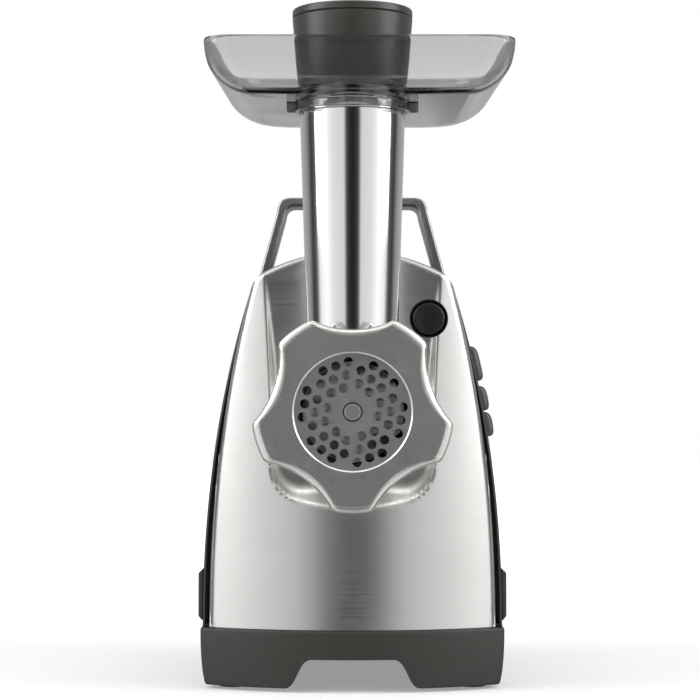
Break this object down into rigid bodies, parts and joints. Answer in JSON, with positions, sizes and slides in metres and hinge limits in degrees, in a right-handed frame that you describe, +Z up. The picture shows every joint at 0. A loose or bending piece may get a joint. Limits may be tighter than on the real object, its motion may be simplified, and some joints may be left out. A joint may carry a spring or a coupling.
{
  "type": "electric meat grinder",
  "caption": "Upright electric meat grinder with a steel front, removable grinding head, feed tube, smoked hopper tray, pusher and carry handle.",
  "frame": {"origin": "middle of the footprint's bounding box, on the surface the feet stand on", "axes": "+Z up, -Y towards the ring nut and the front, +X to the right as seen from the front"},
  "size_m": [0.1652, 0.28, 0.355],
  "materials": {
    "steel_front": "brushed, horizontal grain",
    "handle_metal": "satin",
    "polished_steel": "polished",
    "cast_aluminium": "satin cast",
    "ground_steel": "ground flat",
    "dark_plastic": "fine moulded texture",
    "pusher_plastic": "satin moulded",
    "black_plastic": "satin",
    "button_plastic": "satin moulded",
    "grey_plastic": "moulded",
    "smoked_plastic": "clear smoked",
    "rubber": "matt",
    "nylon": "moulded nylon",
    "machined_steel": "machined",
    "spring_steel": "drawn wire",
    "motor_steel": "laminated",
    "bronze": "sintered",
    "circuit_board": "lacquered",
    "carbon": "matt"
  },
  "bodies": {
    "housing": {"front_fascia": "steel_front", "carry_handle": "handle_metal", "motor_bracket_front": "cast_aluminium", "motor_bracket_rear": "cast_aluminium", "main_housing": "dark_plastic", "rear_cover": "dark_plastic", "base_pan": "dark_plastic", "vent_cover_left": "dark_plastic", "vent_cover_right": "dark_plastic", "dock_socket": "black_plastic", "gearbox_case": "grey_plastic", "gearbox_cover": "grey_plastic", "release_bracket": "grey_plastic", "foot_front_left": "rubber", "foot_front_right": "rubber", "foot_rear_left": "rubber", "foot_rear_right": "rubber", "cord_gland": "rubber", "axle_two": "machined_steel", "axle_one": "machined_steel", "rear_screw_left": "machined_steel", "rear_screw_right": "machined_steel", "base_screw_1": "machined_steel", "base_screw_2": "machined_steel", "base_screw_3": "machined_steel", "base_screw_4": "machined_steel", "release_spring": "spring_steel", "power_spring": "spring_steel", "forward_spring": "spring_steel", "reverse_spring": "spring_steel", "motor_stator": "motor_steel", "bush_front": "bronze", "bush_rear": "bronze", "control_board": "circuit_board", "brush_left": "carbon", "brush_right": "carbon"},
    "drive": {"output_gear": "nylon", "output_shaft": "machined_steel", "auger": "cast_aluminium", "auger_coupling": "black_plastic", "auger_washer": "nylon", "knife": "ground_steel"},
    "second_gear": {"gear_two": "nylon"},
    "first_gear": {"gear_one": "nylon"},
    "rotor": {"armature": "motor_steel", "motor_pinion": "machined_steel", "motor_fan": "black_plastic"},
    "head": {"head_barrel": "cast_aluminium", "feed_tube": "polished_steel"},
    "tray": {"hopper_tray": "smoked_plastic"},
    "plunger": {"pusher": "pusher_plastic", "pusher_cap": "pusher_plastic"},
    "plate": {"cutting_plate": "ground_steel"},
    "nut": {"ring_nut": "cast_aluminium"},
    "latch": {"latch_pin": "machined_steel"},
    "release": {"release_button": "black_plastic"},
    "power": {"power_button": "button_plastic"},
    "forward": {"forward_button": "button_plastic"},
    "reverse": {"reverse_button": "button_plastic"}
  },
  "joints": [
    {"name": "auger_turn", "type": "hinge", "parent": "housing", "child": "drive", "pos_m": [0, 0, 0.1474], "axis": [0, 1, 0], "continuous": true},
    {"name": "second_gear_turn", "type": "hinge", "parent": "housing", "child": "second_gear", "pos_m": [-0.03011, 0, 0.11396], "axis": [0, 1, 0], "continuous": true},
    {"name": "first_gear_turn", "type": "hinge", "parent": "housing", "child": "first_gear", "pos_m": [0.0049, 0, 0.10052], "axis": [0, 1, 0], "continuous": true},
    {"name": "rotor_turn", "type": "hinge", "parent": "housing", "child": "rotor", "pos_m": [-0.00017, 0, 0.06852], "axis": [0, 1, 0], "continuous": true},
    {"name": "head_turn", "type": "hinge", "parent": "housing", "child": "head", "pos_m": [0, 0, 0.1474], "axis": [0, -1, 0], "range_deg": [0, 30]},
    {"name": "latch_slide", "type": "slide", "parent": "housing", "child": "latch", "axis": [0, 1, 0], "range_m": [0, 0.0051]},
    {"name": "tray_lift", "type": "slide", "parent": "head", "child": "tray", "axis": [0, 0, 1], "range_m": [0, 0.04]},
    {"name": "pusher_slide", "type": "slide", "parent": "tray", "child": "plunger", "axis": [0, 0, 1], "range_m": [0, 0.14]},
    {"name": "plate_slide", "type": "slide", "parent": "head", "child": "plate", "axis": [0, -1, 0], "range_m": [0, 0.0222]},
    {"name": "nut_turn", "type": "hinge", "parent": "plate", "child": "nut", "pos_m": [0, 0, 0.1474], "axis": [0, -1, 0], "range_deg": [0, 990]},
    {"name": "release_press", "type": "slide", "parent": "housing", "child": "release", "axis": [0, 1, 0], "range_m": [0, 0.003], "stiffness_N_per_m": 500, "springref_m": -0.002, "deforming": ["release_spring"]},
    {"name": "power_press", "type": "slide", "parent": "housing", "child": "power", "axis": [-1, 0, 0], "range_m": [0, 0.0025], "stiffness_N_per_m": 400, "springref_m": -0.002, "deforming": ["power_spring"]},
    {"name": "forward_press", "type": "slide", "parent": "housing", "child": "forward", "axis": [-1, 0, 0], "range_m": [0, 0.0025], "stiffness_N_per_m": 400, "springref_m": -0.002, "deforming": ["forward_spring"]},
    {"name": "reverse_press", "type": "slide", "parent": "housing", "child": "reverse", "axis": [-1, 0, 0], "range_m": [0, 0.0025], "stiffness_N_per_m": 400, "springref_m": -0.002, "deforming": ["reverse_spring"]}
  ],
  "couplings": [
    {"joint": "second_gear_turn", "follows": "auger_turn", "ratio": -4},
    {"joint": "first_gear_turn", "follows": "auger_turn", "ratio": 16},
    {"joint": "rotor_turn", "follows": "auger_turn", "ratio": -80},
    {"joint": "latch_slide", "follows": "head_turn", "m_per_rad": 0.009549},
    {"joint": "plate_slide", "follows": "nut_turn", "m_per_rad": 0.0012732}
  ]
}
